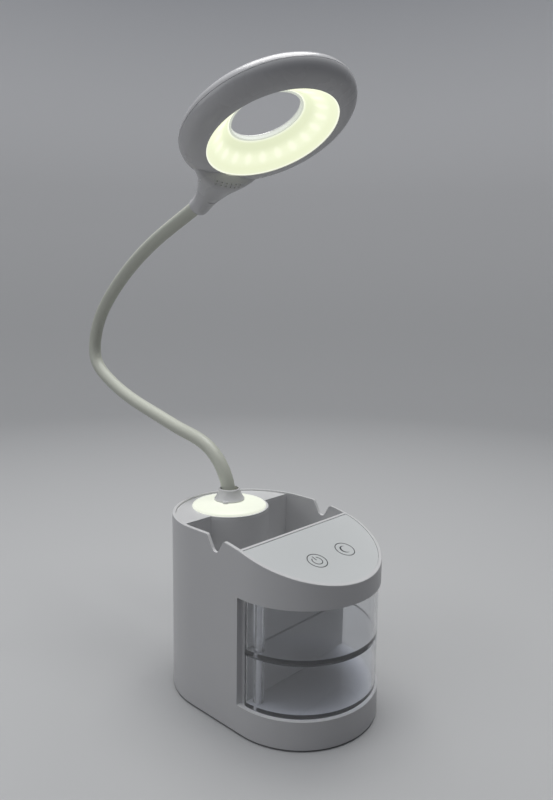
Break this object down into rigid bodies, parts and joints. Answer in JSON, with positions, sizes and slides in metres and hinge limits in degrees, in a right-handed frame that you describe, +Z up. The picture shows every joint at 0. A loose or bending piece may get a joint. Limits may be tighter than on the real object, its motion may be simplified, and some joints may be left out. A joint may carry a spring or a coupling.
{
  "type": "desk lamp with drawer base",
  "caption": "Rechargeable desk lamp: ring-shaped head on a bending neck, over a rounded base with an open pen box, a sloping touch panel and clear swing-out drawers.",
  "frame": {"origin": "centre of the base's stadium footprint, on the table", "axes": "+Z up, -Y to the front with the control panel and the drawers, +X to the right seen from the front"},
  "size_m": [0.106, 0.2684, 0.3723],
  "materials": {
    "white_plastic": "satin moulded ABS",
    "head_white_plastic": "glossy moulded ABS",
    "panel_plastic": "glossy pale panel",
    "clear_plastic": "clear polystyrene",
    "diffuser_plastic": "milky diffuser",
    "foot_rubber": "matt rubber",
    "screw_steel": "zinc plated",
    "plate_steel": "plain pressed steel",
    "pouch_foil": "foil pouch",
    "circuit_board": "green solder mask",
    "light_board": "white solder mask",
    "led_body": "yellow phosphor",
    "socket_steel": "plated shell",
    "ribbon_film": "amber film",
    "lead_sheath": "soft sheath",
    "brass": "turned brass",
    "silicone": "satin silicone",
    "hose_steel": "wound strip"
  },
  "bodies": {
    "base": {"housing": "white_plastic", "bottom_cover": "white_plastic", "rubber_feet": "foot_rubber", "cover_screws": "screw_steel", "counterweight": "plate_steel", "battery_cell": "pouch_foil", "driver_board": "circuit_board", "charging_socket": "socket_steel", "control_panel": "panel_plastic", "touch_board": "circuit_board", "touch_springs": "screw_steel", "touch_ribbon": "ribbon_film", "rear_deck": "white_plastic", "night_light_disc": "diffuser_plastic", "night_light_board": "light_board", "neck_bracket": "plate_steel", "bracket_screws": "screw_steel", "neck_nipple": "brass", "neck_nut": "brass", "neck_collar": "white_plastic", "neck_lead": "lead_sheath", "drawer_pin": "screw_steel", "neck_sleeve_00": "silicone", "neck_hose_00": "hose_steel"},
    "link_01": {"neck_sleeve_01": "silicone", "neck_hose_01": "hose_steel"},
    "link_02": {"neck_sleeve_02": "silicone", "neck_hose_02": "hose_steel"},
    "link_03": {"neck_sleeve_03": "silicone", "neck_hose_03": "hose_steel"},
    "link_04": {"neck_sleeve_04": "silicone", "neck_hose_04": "hose_steel"},
    "link_05": {"neck_sleeve_05": "silicone", "neck_hose_05": "hose_steel"},
    "link_06": {"neck_sleeve_06": "silicone", "neck_hose_06": "hose_steel"},
    "link_07": {"neck_sleeve_07": "silicone", "neck_hose_07": "hose_steel"},
    "link_08": {"neck_sleeve_08": "silicone", "neck_hose_08": "hose_steel"},
    "link_09": {"neck_sleeve_09": "silicone", "neck_hose_09": "hose_steel"},
    "link_10": {"neck_sleeve_10": "silicone", "neck_hose_10": "hose_steel"},
    "head": {"neck_sleeve_11": "silicone", "neck_hose_11": "hose_steel", "neck_ferrule": "brass", "head_lower_shell": "head_white_plastic", "head_upper_shell": "head_white_plastic", "head_diffuser": "diffuser_plastic", "led_ring_board": "light_board", "led_chips": "led_body", "ring_screws": "screw_steel"},
    "lower_drawer": {"lower_drawer": "clear_plastic"},
    "upper_drawer": {"upper_drawer": "clear_plastic"}
  },
  "joints": [
    {"name": "neck_lower_bend", "type": "hinge", "parent": "base", "child": "link_01", "pos_m": [0, 0.04257, 0.12768], "axis": [1, 0, 0], "range_deg": [-6, 8]},
    {"name": "neck_lower_bend_2", "type": "hinge", "parent": "link_01", "child": "link_02", "pos_m": [0, 0.05948, 0.14672], "axis": [1, 0, 0], "range_deg": [-6, 8]},
    {"name": "neck_side_bend", "type": "hinge", "parent": "link_02", "child": "link_03", "pos_m": [0, 0.08631, 0.15448], "axis": [0, -0.2367, 0.9716], "range_deg": [-10, 10]},
    {"name": "neck_lower_bend_3", "type": "hinge", "parent": "link_03", "child": "link_04", "pos_m": [0, 0.11546, 0.16157], "axis": [1, 0, 0], "range_deg": [-6, 8]},
    {"name": "neck_side_bend_2", "type": "hinge", "parent": "link_04", "child": "link_05", "pos_m": [0, 0.14636, 0.16981], "axis": [0, -0.3165, 0.9486], "range_deg": [-10, 10]},
    {"name": "neck_upper_bend", "type": "hinge", "parent": "link_05", "child": "link_06", "pos_m": [0, 0.17595, 0.18196], "axis": [1, 0, 0], "range_deg": [-10, 8]},
    {"name": "neck_upper_bend_2", "type": "hinge", "parent": "link_06", "child": "link_07", "pos_m": [0, 0.19229, 0.19563], "axis": [1, 0, 0], "range_deg": [-10, 8]},
    {"name": "neck_upper_bend_3", "type": "hinge", "parent": "link_07", "child": "link_08", "pos_m": [0, 0.19059, 0.21801], "axis": [1, 0, 0], "range_deg": [-10, 8]},
    {"name": "neck_side_bend_3", "type": "hinge", "parent": "link_08", "child": "link_09", "pos_m": [0, 0.17272, 0.24278], "axis": [0, -0.6821, -0.7312], "range_deg": [-10, 10]},
    {"name": "neck_upper_bend_4", "type": "hinge", "parent": "link_09", "child": "link_10", "pos_m": [0, 0.14813, 0.2632], "axis": [1, 0, 0], "range_deg": [-10, 8]},
    {"name": "neck_side_bend_4", "type": "hinge", "parent": "link_10", "child": "head", "pos_m": [0, 0.11921, 0.28106], "axis": [0, -0.4775, -0.8787], "range_deg": [-10, 10]},
    {"name": "lower_drawer_swing", "type": "hinge", "parent": "base", "child": "lower_drawer", "pos_m": [-0.039, -0.027, 0.034], "axis": [0, 0, 1], "range_deg": [-90, 0]},
    {"name": "upper_drawer_swing", "type": "hinge", "parent": "base", "child": "upper_drawer", "pos_m": [-0.039, -0.027, 0.066], "axis": [0, 0, 1], "range_deg": [-90, 0]}
  ],
  "couplings": [
    {"joint": "neck_lower_bend_2", "follows": "neck_lower_bend", "ratio": 1},
    {"joint": "neck_lower_bend_3", "follows": "neck_lower_bend", "ratio": 1},
    {"joint": "neck_side_bend_2", "follows": "neck_side_bend", "ratio": 1},
    {"joint": "neck_upper_bend_2", "follows": "neck_upper_bend", "ratio": 1},
    {"joint": "neck_upper_bend_3", "follows": "neck_upper_bend", "ratio": 1},
    {"joint": "neck_side_bend_3", "follows": "neck_side_bend", "ratio": 1},
    {"joint": "neck_upper_bend_4", "follows": "neck_upper_bend", "ratio": 1},
    {"joint": "neck_side_bend_4", "follows": "neck_side_bend", "ratio": 1}
  ]
}
